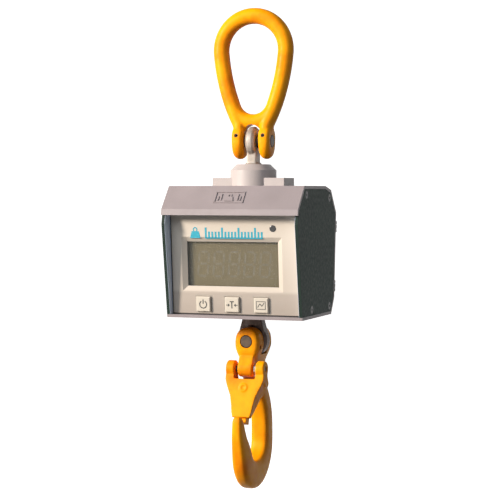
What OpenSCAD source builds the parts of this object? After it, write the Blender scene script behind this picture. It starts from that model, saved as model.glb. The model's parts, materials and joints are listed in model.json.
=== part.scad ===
// Crane scale: a forged suspension link above, a weather-proof indicator housing
// around a load cell, and a latched load hook below.
// Frame: millimetres, +Z up, X to the right, -Y towards the reader of the display.
// The origin is the inner crown of the suspension link, where a crane hook bears.

/* [Suspension link] */
// Diameter of the forged bar of the link
link_bar_d = 16; // [14:0.5:17]
// Centreline radius of the link's crown
link_crown_r = 34; // [32:0.5:36]
// Centreline radius of the link's converging legs
link_leg_r = 198; // [190:1:205]
// Depth of the upper load pin's axis below the origin
top_pin_drop = 116.5; // [115:0.5:118]
// Diameter of both load pins
load_pin_d = 13; // [12:0.5:13.5]
// Width of the slot between the link's two ears
link_slot_w = 16.6; // [16:0.2:17]
// Thickness of each ear of the link
link_ear_t = 11.4; // [11:0.1:12]
// Radius of each ear of the link, seen from its side
link_ear_r = 12.7; // [12:0.1:13]
// Diameter of the spring pins that lock the load pins
lock_pin_d = 4; // [3:0.5:4]

/* [Eyes and load cell] */
// Outside diameter of the upper eye
upper_eye_d = 29; // [27:0.5:29]
// Thickness of the upper eye
upper_eye_t = 9.6; // [9:0.1:11]
// Outside diameter of the lower eye
lower_eye_d = 32; // [30:0.5:32]
// Thickness of the lower eye
lower_eye_t = 12.5; // [11:0.5:13]
// Diameter of the threaded shank of the upper eye
upper_shank_d = 20; // [18:1:22]
// Diameter of the neck and threaded shank of the lower eye
lower_shank_d = 18; // [17:0.5:20]
// Width of the load cell's column
cell_w = 40; // [36:1:44]
// Depth of the load cell's column
cell_d = 26; // [24:1:28]
// Diameter of the strain gauge pockets
gauge_pocket_d = 24; // [20:1:26]
// Outside diameter of the collar on top of the housing
collar_d = 46; // [44:1:48]
// Width of the mounting flange under the collar
flange_w = 75; // [72:1:80]
// Depth of the mounting flange under the collar
flange_d = 32; // [30:1:34]

/* [Housing] */
// Width of the housing
body_w = 140; // [138:1:144]
// Depth of the housing's top face below the origin
body_top_drop = 161; // [160:0.5:162]
// Height of the housing
body_h = 129; // [128:0.5:131]
// Thickness of the extruded shell
wall = 3; // [2.5:0.5:3.5]
// Thickness of the side plates
plate_t = 3.5; // [3:0.5:4]
// Lean of the front panel, top edge forwards
panel_tilt = 4.36; // [3.5:0.1:5]
// Thickness of the front panel
panel_t = 3; // [2.5:0.5:3]

/* [Display] */
// Width of the visible display window
window_w = 94; // [90:1:96]
// Height of the visible display window
window_h = 43.5; // [42:0.5:45]
// Width of the sloping frame around the window
window_bevel = 5; // [4:0.5:5.5]
// Sideways offset of the display and keys from the housing's middle
display_x = -3; // [-4:0.5:0]
// Diameter of the light sensor's lens
sensor_d = 6.5; // [6:0.5:7]

/* [Keys] */
// Side of each square key
key_size = 14.8; // [14:0.2:16]
// Distance between the middles of neighbouring keys
key_pitch = 29.9; // [28:0.1:31]
// Height of the keys above the panel
key_rise = 2.5; // [2:0.1:3]
// Travel of the keys
key_travel = 1.2; // [1:0.1:1.2]

/* [Battery compartment] */
// Diameter of one cell
battery_d = 14.5; // [14:0.1:14.5]
// Length of one cell
battery_l = 50.5; // [49:0.1:50.5]
// Distance between rows of cells
battery_pitch = 16; // [15:0.1:16.5]
// Thickness of the battery door
door_t = 3; // [2.5:0.5:3]
// Diameter of the door's thumbscrew head
knob_d = 13; // [12:0.5:14]

/* [Hook] */
// Depth of the lower load pin's axis below the origin
low_pin_drop = 315; // [314:0.5:316]
// Width of the gap between the hook's two ears
hook_slot_w = 16; // [15.5:0.5:17]
// Overall depth of the hook's fork
hook_fork_d = 44; // [42:1:45]
// Radius of the hook's ears about the load pin
hook_ear_r = 13.5; // [13:0.5:14]
// Inside radius of the hook's bowl
bowl_r = 20; // [19.5:0.25:20.5]
// Outside radius of the hook's bowl
bowl_outer_r = 41.5; // [41:0.25:42]
// Depth of the bowl's inner bottom below the origin
bowl_drop = 435.5; // [435:0.25:436]
// Greatest thickness of the hook
hook_t = 18.5; // [18:0.5:20]

/* [Latch] */
// Overall width across the latch's ears
latch_w = 40; // [39:0.5:41]
// Thickness of each latch ear
latch_ear_t = 9; // [8.5:0.25:9]
// Diameter of the latch pin
latch_pin_d = 6; // [5:0.5:6]
// Thickness of the latch plate
latch_t = 7; // [6:0.5:7.5]
// Forward slant of the latch plate
latch_slant = 16.7; // [16:0.1:17.5]

/* [Fits] */
// Radial clearance of a pin that turns in its bore
run_fit = 0.06; // [0.03:0.01:0.1]
// Radial clearance of parts that are screwed or pressed together
seat_fit = 0.03; // [0.02:0.01:0.05]
// Gap between neighbouring parts that move apart
gap = 0.3; // [0.3:0.05:0.4]

/* [Hidden] */
$fn = 72;

forged_yellow = [0.93, 0.66, 0.1];
zinc = [0.74, 0.73, 0.7];
dark_steel = [0.33, 0.33, 0.34];
alloy = [0.85, 0.84, 0.82];
shell_grey = [0.7, 0.68, 0.67];
plate_grey = [0.25, 0.27, 0.26];
cream = [0.9, 0.86, 0.78];
rubber_black = [0.08, 0.08, 0.08];
board_green = [0.1, 0.35, 0.2];
lcd_olive = [0.45, 0.42, 0.33];
clear = [0.8, 0.85, 0.85, 0.35];
brass = [0.8, 0.65, 0.3];
battery_blue = [0.15, 0.25, 0.45];

crown_z = link_bar_d / 2 - link_crown_r;
crown_sweep = 5;
// Slight swelling of the bar where its crown runs into its legs
weld_swell = 0.3;
leg_sweep = 26;
bridge_r = 19;
bridge_z = -78;
top_pin_z = -top_pin_drop;
link_ear_x = link_slot_w / 2 + link_ear_t / 2;
arch_z = top_pin_z + 8.5;
ear_low_z = top_pin_z - 4.9;
ear_high_z = top_pin_z + 3.5;
ear_chamfer = 3;
lock_offset = load_pin_d / 2 - 1;
lock_groove_r = lock_offset - lock_pin_d / 2 - 0.05;
top_pin_l = 2 * (link_slot_w / 2 + link_ear_t) + 1;

body_top = -body_top_drop;
body_bottom = body_top - body_h;
collar_h = 21.5;
collar_top = body_top + collar_h;
collar_shoulder_z = body_top + 15.5;
collar_bore_d = upper_shank_d + 4.8;
flange_t = 8;
flange_screw_x = 30;
flange_screw_d = 6;
flange_head_d = 10;
flange_head_z = body_top + 1.5;
shank_port_d = 26;
shank_pin_d = 5;
cell_head_t = 14;
cell_top = body_top - wall;
cell_bottom = body_bottom + 18;
upper_shank_pin_z = cell_top - 18;
lower_shank_pin_z = cell_bottom + 10;
gauge_z = -218;
gauge_depth = 9;

// Outline of the housing seen from its side, as [y, z] from the front ridge round
outline = [[-51, body_top], [-70.5, body_top - 22.5], [-71.7, body_top - 28.3],
    [-56, body_bottom], [36.7, body_bottom], [47.6, body_bottom + 16.5],
    [53.6, body_top - 27], [36, body_top - 4], [17, body_top]];
// Which walls the shell has: all but the open front between its lip and its floor
shell_walls = [1, 1, 0, 1, 1, 1, 1, 1, 1];
screw_ports = [[-43, body_top - 8.7], [31, body_top - 12], [31.5, body_bottom + 8.7],
    [-26, body_bottom + 8.7]];
port_d = 12.5;
port_hole_d = 3.4;
inner_w = body_w - 2 * plate_t;

panel_y = -54;
panel_z = body_top - 77.5;
panel_half_w = 65.2;
panel_low = -47.4;
panel_high = 61.2;
display_z = 1.2;
window_back = panel_t + 2;
lcd_y = 7;
lcd_t = 2.8;
pcb_y = 13;
pcb_t = 1.6;
key_z = -37.9;
plunger_l = 3;
// Front of the rubber domes, which the plungers just reach at the end of their travel
dome_y = panel_t + gap + plunger_l + key_travel + 0.1;
sensor_x = 40.1;
sensor_z = 36.6;
post_x = 57;
post_z = 41;

rear_y = 50.6;
rear_z = body_top - 69.75;
rear_tilt = -4.01;
opening_half_w = 53.5;
opening_half_h = 27;
hinge_x = 66;
hinge_y = 4.8;
hinge_zs = [28.8, -31.3];
knuckle_r = 3.2;
hinge_pin_d = 3;
door_y = 1.8;
screw_x = -61.5;
screw_d = 5;

low_pin_z = -low_pin_drop;
eye_shoulder_half_w = 13.5;
hook_ear_y = (hook_slot_w + hook_fork_d) / 4;
bowl_y = -5;
bowl_z = bowl_r - bowl_drop;
shank_half_w = 8.5;
lug_w = 15;
latch_y = -19;
latch_z = low_pin_z - 27;
latch_r = 8;
latch_front = -5.1;
latch_ear_x = (latch_w - latch_ear_t) / 2;
latch_slot_half_w = latch_w / 2 - latch_ear_t;
latch_back = latch_front + latch_t;
channel_half_w = 9.8;
spring_d = 1.4;
spring_ring_r = latch_pin_d / 2 + 1.2;
// Distances of the spring's two rings from the hook's middle
spring_ring_xs = [8.4, 10];

// Inner offset of a closed outline by its own distance for each edge
function unit(v) = v / norm(v);
function inward(p, q) = let (d = unit(q - p)) [-d[1], d[0]];
function corner(p, a, s, b, t) = let (c = a * b)
    p + (a * (s - t * c) + b * (t - s * c)) / (1 - c * c);
function inset(pts, dist) = let (n = len(pts)) [for (i = [0:n - 1])
    corner(pts[i], inward(pts[(i + n - 1) % n], pts[i]), dist[(i + n - 1) % n],
        inward(pts[i], pts[(i + 1) % n]), dist[i])];

module yz_prism(pts, w) rotate([90, 0, 90])
    linear_extrude(height = w, center = true) polygon(pts);
module xz_prism(pts, d) rotate([90, 0, 0])
    linear_extrude(height = d, center = true) polygon(pts);
module rod_x(d, l) rotate([0, 90, 0]) cylinder(d = d, h = l, center = true);
module rod_y(d, l) rotate([90, 0, 0]) cylinder(d = d, h = l, center = true);
module at(p) translate(p) children();
module both_sides() {
    children();
    mirror([1, 0, 0]) children();
}
module chamfered_rectangle(w, d, c) polygon([[-w / 2, c - d / 2], [c - w / 2, -d / 2],
    [w / 2 - c, -d / 2], [w / 2, c - d / 2], [w / 2, d / 2 - c], [w / 2 - c, d / 2],
    [c - w / 2, d / 2], [-w / 2, d / 2 - c]]);
// Disc about Z, with both rims chamfered
module wheel(r, t, c) rotate_extrude() polygon([[0, -t / 2], [r - c, -t / 2],
    [r, c - t / 2], [r, t / 2 - c], [r - c, t / 2], [0, t / 2]]);
module wheel_x(r, t, c) rotate([0, 90, 0]) wheel(r, t, c);
module wheel_y(r, t, c) rotate([90, 0, 0]) wheel(r, t, c);
// Part of a ring of round bar in the XZ plane, swept from angle a to angle b
module bar_arc(r, d, a, b) rotate([90, 0, 0]) rotate([0, 0, a])
    rotate_extrude(angle = b - a, $fn = 96) translate([r, 0]) circle(d = d, $fn = 48);
// Hollow spring pin with its slit, along Z
module spring_pin(d, l) difference() {
    cylinder(d = d - 2 * seat_fit, h = l, center = true);
    cylinder(d = d / 2, h = l + 1, center = true);
    translate([d / 2, 0, 0]) cube([d, 0.8, l + 1], center = true);
}
// Load pin along X, with chamfered ends and a turned groove at each lock pin
module load_pin(l, groove_x) difference() {
    wheel_x(load_pin_d / 2, l, 1);
    for (s = [-1, 1]) translate([s * groove_x, 0, 0]) rotate([0, 90, 0]) difference() {
        cylinder(d = load_pin_d + 2, h = lock_pin_d + 0.4, center = true);
        cylinder(r = lock_groove_r, h = lock_pin_d + 1, center = true);
    }
}
// Places its children on the front panel: -Y is out of its face, +Z is up it
module on_panel() translate([0, panel_y, panel_z]) rotate([panel_tilt, 0, 0]) children();
// Places its children on the rear wall: +Y is out of its face, +Z is up it
module on_rear() translate([0, rear_y, rear_z]) rotate([rear_tilt, 0, 0]) children();
// Box from one corner to the opposite one
module box(a, b) translate(a) cube(b - a);
// Plate on the panel, w wide and h high about the display's middle, from y0 to y1
module display_plate(w, h, y0, y1) box([display_x - w / 2, y0, display_z - h / 2],
    [display_x + w / 2, y1, display_z + h / 2]);

module top_link() color(forged_yellow) difference() {
    union() {
        at([0, 0, crown_z]) bar_arc(link_crown_r, link_bar_d, -crown_sweep, 180 + crown_sweep);
        both_sides() {
            at([link_crown_r * cos(crown_sweep), 0, crown_z - link_crown_r * sin(crown_sweep)])
                sphere(d = link_bar_d + weld_swell);
            at([(link_crown_r - link_leg_r) * cos(crown_sweep), 0,
                crown_z + (link_leg_r - link_crown_r) * sin(crown_sweep)])
                bar_arc(link_leg_r, link_bar_d, -leg_sweep, -crown_sweep);
            for (z = [ear_low_z, ear_high_z]) at([link_ear_x, 0, z])
                wheel_x(link_ear_r, link_ear_t, ear_chamfer);
            at([link_ear_x, 0, ear_low_z]) linear_extrude(height = ear_high_z - ear_low_z)
                chamfered_rectangle(link_ear_t, 2 * link_ear_r, ear_chamfer);
            at([link_ear_x, 0, top_pin_z]) cylinder(d = link_ear_t, h = 22);
        }
        at([0, 0, bridge_z]) bar_arc(bridge_r, link_bar_d, 205, 335);
    }
    at([0, 0, arch_z]) rod_y(link_slot_w, 50);
    box([-link_slot_w / 2, -25, arch_z - 40], [link_slot_w / 2, 25, arch_z]);
    at([0, 0, top_pin_z]) rod_x(load_pin_d + 2 * seat_fit, 60);
    for (s = [-1, 1]) at([s * link_ear_x, 0, top_pin_z + lock_offset]) rod_y(lock_pin_d, 50);
}

module top_load_pin() color(dark_steel)
    at([0, 0, top_pin_z]) load_pin(top_pin_l, link_ear_x);

module top_lock_pins() color(dark_steel)
    for (s = [-1, 1]) at([s * link_ear_x, 0, top_pin_z + lock_offset])
        rotate([90, 0, 0]) spring_pin(lock_pin_d, 2 * link_ear_r - 1.4);

module upper_eye() color(zinc) difference() {
    union() {
        at([0, 0, top_pin_z]) wheel_x(upper_eye_d / 2, upper_eye_t, 2.6);
        box([-upper_eye_t / 2, -7, collar_top - 2], [upper_eye_t / 2, 7, top_pin_z]);
        at([0, 0, collar_top - 4]) cylinder(r1 = upper_shank_d / 2 + 2, r2 = 7, h = 6);
        at([0, 0, cell_top]) cylinder(d = upper_shank_d + 4, h = collar_top - 4 - cell_top);
        at([0, 0, cell_top - 24]) cylinder(d = upper_shank_d, h = 25);
    }
    at([0, 0, top_pin_z]) rod_x(load_pin_d + 2 * run_fit, 20);
    at([0, 0, upper_shank_pin_z]) rod_y(shank_pin_d, 40);
}

module top_flange() color(alloy) difference() {
    union() {
        at([0, 0, body_top]) rotate_extrude() polygon([[0, 0], [collar_d / 2, 0],
            [collar_d / 2, collar_shoulder_z - body_top], [collar_d / 2 - 6, collar_h], [0, collar_h]]);
        box([-flange_w / 2, -flange_d / 2, body_top],
            [flange_w / 2, flange_d / 2, body_top + flange_t]);
    }
    at([0, 0, body_top - 1]) cylinder(d = collar_bore_d, h = 30);
    at([0, 0, collar_top - 5]) cylinder(d = collar_bore_d + 6, h = 10);
    both_sides() at([flange_screw_x, 0, 0]) {
        at([0, 0, body_top - 1]) cylinder(d = flange_screw_d + 0.4, h = 20);
        at([0, 0, flange_head_z]) cylinder(d = flange_head_d + 0.6, h = 20);
    }
}

module flange_screws() color(dark_steel) both_sides() at([flange_screw_x, 0, 0]) difference() {
    union() {
        at([0, 0, flange_head_z]) cylinder(d = flange_head_d, h = 6);
        at([0, 0, cell_top - 11]) cylinder(d = flange_screw_d, h = 16);
    }
    at([0, 0, body_top + 4.5]) cylinder(d = 5.8, h = 10, $fn = 6);
}

module collar_seal() color(rubber_black) at([0, 0, collar_top - 5]) rotate_extrude() polygon([
    [upper_shank_d / 2 + 2, 0], [collar_bore_d / 2 + 3, 0], [collar_bore_d / 2 + 3, 3.4],
    [collar_bore_d / 2 + 1.5, 4.4], [upper_shank_d / 2 + 2, 1.2]]);

module load_cell() color(zinc) difference() {
    union() {
        box([-flange_w / 2, -flange_d / 2, cell_top - cell_head_t],
            [flange_w / 2, flange_d / 2, cell_top]);
        box([-cell_w / 2, -cell_d / 2, cell_bottom], [cell_w / 2, cell_d / 2, cell_top - 1]);
        box([-cell_w / 2, -flange_d / 2, cell_bottom], [cell_w / 2, flange_d / 2, cell_bottom + 24]);
    }
    at([0, 0, cell_top - 26]) cylinder(d = upper_shank_d + 2 * seat_fit, h = 30);
    at([0, 0, cell_bottom - 1]) cylinder(d = lower_shank_d + 2 * seat_fit, h = 25);
    for (s = [-1, 1]) at([0, s * (cell_d / 2 + 10 - gauge_depth), gauge_z])
        rod_y(gauge_pocket_d, 20);
    both_sides() at([flange_screw_x, 0, cell_top - 12])
        cylinder(d = flange_screw_d + 2 * seat_fit, h = 20);
    at([0, 0, upper_shank_pin_z]) rod_y(shank_pin_d, 40);
    at([0, 0, lower_shank_pin_z]) rod_y(shank_pin_d, 40);
}

module gauge_covers() color(dark_steel) for (s = [-1, 1])
    at([0, s * (cell_d / 2 - 1), gauge_z]) rod_y(gauge_pocket_d - 0.1, 2);

module shank_pins() color(dark_steel) {
    at([0, 0, upper_shank_pin_z]) rotate([90, 0, 0]) spring_pin(shank_pin_d, cell_d);
    at([0, 0, lower_shank_pin_z]) rotate([90, 0, 0]) spring_pin(shank_pin_d, flange_d);
}

module lower_eye() color(dark_steel) difference() {
    union() {
        at([0, 0, low_pin_z]) wheel_y(lower_eye_d / 2, lower_eye_t, 2);
        xz_prism([[-eye_shoulder_half_w, low_pin_z + 8], [-lower_shank_d / 2, body_bottom - 0.6],
            [lower_shank_d / 2, body_bottom - 0.6], [eye_shoulder_half_w, low_pin_z + 8]],
            lower_eye_t);
        at([0, 0, low_pin_z + 11.4]) cylinder(r1 = lower_eye_t / 2, r2 = lower_shank_d / 2, h = 4);
        at([0, 0, low_pin_z + 15.4]) cylinder(d = lower_shank_d, h = cell_bottom + 6.6 - low_pin_z);
    }
    at([0, 0, low_pin_z]) rod_y(load_pin_d + 2 * run_fit, 30);
    at([0, 0, lower_shank_pin_z]) rod_y(shank_pin_d, 40);
}

module bottom_seal() color(rubber_black) at([0, 0, body_bottom]) rotate_extrude() polygon([
    [lower_shank_d / 2 + seat_fit, 0], [shank_port_d / 2, 0], [shank_port_d / 2, wall],
    [17, wall], [17, wall + 4],
    [lower_shank_d / 2 + seat_fit, wall + 4]]);

module housing_shell() color(shell_grey) difference() {
    union() {
        difference() {
            yz_prism(outline, body_w);
            yz_prism(concat([for (i = [0:1]) inset(outline, shell_walls * wall)[i]],
                [outline[2] + [wall, 0], outline[2] - [30, 0], outline[3] + [-46, wall]],
                [for (i = [4:8]) inset(outline, shell_walls * wall)[i]]), body_w + 2);
        }
        for (p = screw_ports) at([0, p[0], p[1]]) rod_x(port_d, inner_w - 2 * seat_fit);
        box([-inner_w / 2, -55.2, body_top - 21], [inner_w / 2, -53.6, body_top - 5]);
        box([-inner_w / 2, -46.9, body_bottom + 1], [inner_w / 2, -45.3, body_bottom + 4.8]);
    }
    for (p = screw_ports) at([0, p[0], p[1]]) rod_x(port_hole_d, body_w + 2);
    at([0, 0, body_top - wall - 1]) cylinder(d = shank_port_d, h = 10);
    both_sides() at([flange_screw_x, 0, body_top - wall - 1])
        cylinder(d = flange_screw_d + 0.4, h = 10);
    at([0, 0, body_bottom - 1]) cylinder(d = shank_port_d, h = wall + 3);
    on_rear() {
        box([-opening_half_w, -wall - 1, -opening_half_h], [opening_half_w, 1, opening_half_h]);
        at([screw_x, 0, 0]) rod_y(screw_d + 0.6, 20);
    }
}

// Side plate let into the right end of the shell
module side_plate() color(plate_grey) difference() {
    at([body_w / 2 - plate_t / 2, 0, 0])
        yz_prism(inset(outline, shell_walls * (wall + 0.1)), plate_t);
    for (p = screw_ports) at([0, p[0], p[1]]) {
        rod_x(port_hole_d + 0.6, body_w + 2);
        at([body_w / 2 - 2, 0, 0]) rotate([0, 90, 0]) cylinder(d1 = 4, d2 = 8.2, h = 2.1);
    }
}
module side_plate_right() side_plate();
module side_plate_left() mirror([1, 0, 0]) side_plate();

// Countersunk screws through the right side plate
module side_screws() color(plate_grey) for (p = screw_ports) at([body_w / 2, p[0], p[1]])
    rotate([0, 90, 0]) difference() {
        union() {
            at([0, 0, -2]) cylinder(d1 = 3.8, d2 = 7.8, h = 1.9);
            at([0, 0, -18]) cylinder(d = port_hole_d - 2 * seat_fit, h = 17);
        }
        at([0, 0, -1.4]) cylinder(d = 2.6, h = 3, $fn = 6);
    }
module side_screws_right() side_screws();
module side_screws_left() mirror([1, 0, 0]) side_screws();

module front_bezel() color(cream) on_panel() difference() {
    box([-panel_half_w, 0, panel_low], [panel_half_w, panel_t, panel_high]);
    at([display_x, 0, display_z]) intersection() {
        linear_extrude(height = window_h + 2 * window_bevel, center = true) polygon([
            [-window_w / 2 - window_bevel, -0.01], [window_w / 2 + window_bevel, -0.01],
            [window_w / 2, panel_t + 0.01], [-window_w / 2, panel_t + 0.01]]);
        yz_prism([[-0.01, -window_h / 2 - window_bevel], [panel_t + 0.01, -window_h / 2],
            [panel_t + 0.01, window_h / 2], [-0.01, window_h / 2 + window_bevel]], 200);
    }
    for (i = [-1:1]) at([display_x + i * key_pitch, 0, key_z])
        cube([key_size + 2 * gap, 20, key_size + 2 * gap], center = true);
    at([sensor_x, 0, sensor_z]) rod_y(sensor_d + 2 * seat_fit, 20);
}

module bezel_seal() color(rubber_black) on_panel() difference() {
    box([-inner_w / 2 + 0.1, 0.6, panel_low - 1], [inner_w / 2 - 0.1, panel_t, panel_high + 1]);
    box([-panel_half_w, 0, panel_low], [panel_half_w, panel_t + 1, panel_high]);
}

module display_window() color(clear) on_panel()
    display_plate(window_w + 6, window_h + 6, panel_t, window_back);

module lcd_frame() color(rubber_black) on_panel() difference() {
    display_plate(window_w + 14, window_h + 13.5, window_back, pcb_y);
    display_plate(window_w + 1, window_h + 1, 0, lcd_y + 1);
    display_plate(window_w + 8, window_h + 7.5, lcd_y, pcb_y + 1);
}

module lcd_panel() color(lcd_olive) on_panel()
    display_plate(window_w + 7.6, window_h + 7.1, lcd_y, lcd_y + lcd_t);

module backlight() color("white") on_panel()
    display_plate(window_w + 7.6, window_h + 7.1, lcd_y + lcd_t, pcb_y - 0.2);

module main_pcb() color(board_green) on_panel() difference() {
    box([-62, pcb_y, -45.5], [62, pcb_y + pcb_t, 46]);
    for (x = [-post_x, post_x], z = [-post_z, post_z]) at([x, 0, z]) rod_y(3.4, 60);
}

module pcb_components() color(dark_steel) on_panel() at([0, pcb_y + pcb_t, 0]) {
    box([-8, 0, 14], [12, 8, 26]);
    box([34, 0, 11], [46, 8, 21]);
    box([-30, 0, 0], [-16, 1.6, 14]);
    box([24, 0, -24], [38, 3, -10]);
    at([-44, 5, 26]) rod_y(8, 10);
    at([-32, 5, 26]) rod_y(8, 10);
    at([-46, 3, -14]) rod_y(14, 6);
}

module pcb_standoffs() color(brass) on_panel()
    for (x = [-post_x, post_x], z = [-post_z, post_z]) at([x, (panel_t + pcb_y) / 2, z])
        difference() {
            rod_y(7, pcb_y - panel_t);
            rod_y(3, pcb_y);
        }

module pcb_screws() color(zinc) on_panel()
    for (x = [-post_x, post_x], z = [-post_z, post_z]) at([x, pcb_y + pcb_t, z]) {
        at([0, 1, 0]) rod_y(5.6, 2);
        at([0, -4, 0]) rod_y(2.9, 8.2);
    }

module keypad_mat() color(rubber_black) on_panel() {
    box([display_x - 45, pcb_y - 2, key_z - 7.5], [display_x + 45, pcb_y, key_z + 7.5]);
    for (i = [-1:1]) at([display_x + i * key_pitch, 0, key_z]) {
        at([0, pcb_y - 2.8, 0]) rod_y(11, 1.8);
        at([0, (dome_y + pcb_y - 3) / 2, 0]) rod_y(7, pcb_y - 3 - dome_y);
    }
}

module sensor_lens() color(rubber_black) on_panel() at([sensor_x, 0, sensor_z]) {
    at([0, panel_t / 2 - 0.2, 0]) rod_y(sensor_d, panel_t + 0.4);
    at([0, panel_t + 0.8, 0]) rod_y(sensor_d + 2, 1.6);
}

// One key: cap, retaining flange behind the panel, and plunger
module key(i) color(cream) on_panel() at([display_x + i * key_pitch, 0, key_z]) {
    box([-key_size / 2, -key_rise + 0.6, -key_size / 2],
        [key_size / 2, panel_t + gap, key_size / 2]);
    box([-key_size / 2 + 0.6, -key_rise, 0.6 - key_size / 2],
        [key_size / 2 - 0.6, 0, key_size / 2 - 0.6]);
    at([0, panel_t + gap + 0.5, 0]) cube([key_size + 2, 1, key_size + 2], center = true);
    at([0, panel_t + gap + plunger_l / 2, 0]) rod_y(4, plunger_l);
}
module key_power() key(-1);
module key_tare() key(0);
module key_hold() key(1);

module battery_holder() color(rubber_black) on_rear() difference() {
    box([-opening_half_w - 2, -21, -opening_half_h - 1.5],
        [opening_half_w + 2, -wall, opening_half_h + 1.5]);
    for (s = [-1, 1]) box([s > 0 ? 0.8 : -opening_half_w, -19.5, 1 - opening_half_h],
        [s > 0 ? opening_half_w : -0.8, 1, opening_half_h - 1]);
}

module battery_contacts() color(brass) on_rear() both_sides() for (i = [-1:1])
    at([0, -11.5, i * battery_pitch]) {
        box([52.6, -5, -5], [opening_half_w - 0.1, 5, 5]);
        at([52.1, 0, 0]) rod_x(7, 1.1);
    }

module batteries() color(battery_blue) on_rear() both_sides() for (i = [-1:1])
    at([1 + battery_l / 2, -11.5, i * battery_pitch]) {
        at([-0.5, 0, 0]) rod_x(battery_d, battery_l - 1);
        at([0.5, 0, 0]) rod_x(5.5, battery_l - 1);
    }

module door_gasket() color(rubber_black) on_rear() difference() {
    box([-57.2, 0, -opening_half_h - 4], [57.2, 1.4, opening_half_h + 4]);
    box([-54.2, -1, -opening_half_h - 1], [54.2, 3, opening_half_h + 1]);
}

module hinge_brackets() color(plate_grey) on_rear() for (z = hinge_zs) at([hinge_x, 0, z])
    difference() {
        union() {
            box([-3.4, 0, -5.5], [3.4, 1.2, 5.5]);
            box([-1.6, 0, -2.2], [3, hinge_y, 2.2]);
            at([0, hinge_y, 0]) cylinder(r = knuckle_r, h = 4.4, center = true);
        }
        at([0, hinge_y, 0]) cylinder(d = hinge_pin_d + 2 * seat_fit, h = 20, center = true);
    }

module hinge_pins() color(zinc) on_rear() for (z = hinge_zs)
    at([hinge_x, hinge_y, z]) cylinder(d = hinge_pin_d, h = 11, center = true);

module rivet_nut() color(zinc) on_rear() at([screw_x, -wall - 3, 0]) difference() {
    rod_y(9, 6);
    rod_y(screw_d + 0.6, 8);
}

// Straight round lead along Y, at x and z, between two depths
module lead(x, z, y0, y1, d) at([x, (y0 + y1) / 2, z]) rod_y(d, y1 - y0);
module signal_cable() color(rubber_black) lead(6, gauge_z - 2, -32.5, -cell_d / 2, 3);
module battery_lead() color(rubber_black) lead(40, gauge_z - 4, -32.3, 29.2, 3.5);

module battery_door() color(plate_grey) on_rear() difference() {
    union() {
        box([-66, door_y, -37], [60, door_y + door_t, 37]);
        for (z = hinge_zs, s = [-1, 1]) at([hinge_x, hinge_y, z + s * 4.1]) {
            cylinder(r = knuckle_r, h = 3, center = true);
            box([-8, -2.4, -1.5], [0, 0, 1.5]);
        }
    }
    for (z = hinge_zs) at([hinge_x, hinge_y, z])
        cylinder(d = hinge_pin_d + 2 * run_fit, h = 20, center = true);
    at([screw_x, 0, 0]) rod_y(6.2 + 2 * run_fit, 20);
}

module door_thumbscrew() color(dark_steel) on_rear() at([screw_x, 0, 0]) {
    at([0, door_y + door_t + gap + 3.5, 0]) difference() {
        wheel_y(knob_d / 2, 7, 0.8);
        for (a = [0:30:330]) rotate([0, a, 0]) at([knob_d / 2 + 0.6, 0, 0]) rod_y(2.4, 9);
    }
    at([0, door_y + (door_t + gap) / 2 - 0.4, 0]) rod_y(6.2, door_t + gap + 1);
    at([0, -3, 0]) rod_y(screw_d, 9);
}

// Side outline of the hook below its fork, as [y, z] below the load pin
module hook_profile() difference() {
    union() {
        at([bowl_y, -107, 0]) circle(r = bowl_outer_r, $fn = 120);
        polygon([[-13, -15], [-13, -30], [-6, -37], [3, -51], [10, -65], [15, -81],
            [bowl_y + bowl_r, bowl_z - low_pin_z], [36.5, -105], [36, -82], [31.5, -66],
            [22.5, -50], [13, -36], [13, -15]]);
        polygon([[-46.5, -107], [-50.5, -92], [-51, -78], [-48.5, -72.5], [-45, -70.5],
            [-41.5, -73.5], [-37, -85], [-32, -95], [-25, -104], [-20, -130]]);
    }
    at([bowl_y, bowl_z - low_pin_z, 0]) circle(r = bowl_r, $fn = 96);
    polygon([[bowl_y - bowl_r, bowl_z - low_pin_z], [-32, -95], [-37, -85], [-41.5, -73.5],
        [-44, -64], [3, -51], [10, -65], [15, -81], [bowl_y + bowl_r, bowl_z - low_pin_z]]);
}

// Prism along Z of a plan outline that is mirrored in X, given as [y, half width]
module plan_prism(pts) at([0, 0, -75]) linear_extrude(height = 200, center = true)
    polygon(concat([for (p = pts) [p[1], p[0]]],
        [for (i = [len(pts) - 1:-1:0]) [-pts[i][1], pts[i][0]]]));
// Prism along Y of a front outline that is mirrored in X, given as [z, half width]
module front_prism(pts, d) xz_prism(concat([for (p = pts) [p[1], p[0]]],
    [for (i = [len(pts) - 1:-1:0]) [-pts[i][1], pts[i][0]]]), d);

module hook_shank() intersection() {
    rotate([90, 0, 90]) linear_extrude(height = hook_t, center = true) hook_profile();
    plan_prism([[-55, 3], [-49, 5.4], [-43, 6.6], [-30, 7.6], [-8, 8.6],
        [8, hook_t / 2], [31, hook_t / 2], [40, 7.4]]);
    front_prism([[-150, 5.4], [-144, 7.8], [-132, hook_t / 2], [-64, hook_t / 2],
        [-50, shank_half_w], [0, shank_half_w]], 120);
}

module hook_fork() intersection() {
    union() {
        rod_y(2 * hook_ear_r, hook_fork_d);
        front_prism([[-34, shank_half_w], [-20, shank_half_w], [-6, hook_ear_r],
            [0, hook_ear_r]], hook_fork_d);
    }
    yz_prism([[-19, hook_ear_r], [-22, 8], [-22, -12], [-18, -19], [-13, -22.5], [-13, -34],
        [13, -34], [22, -12], [22, 8], [19, hook_ear_r]], 40);
}

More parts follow.
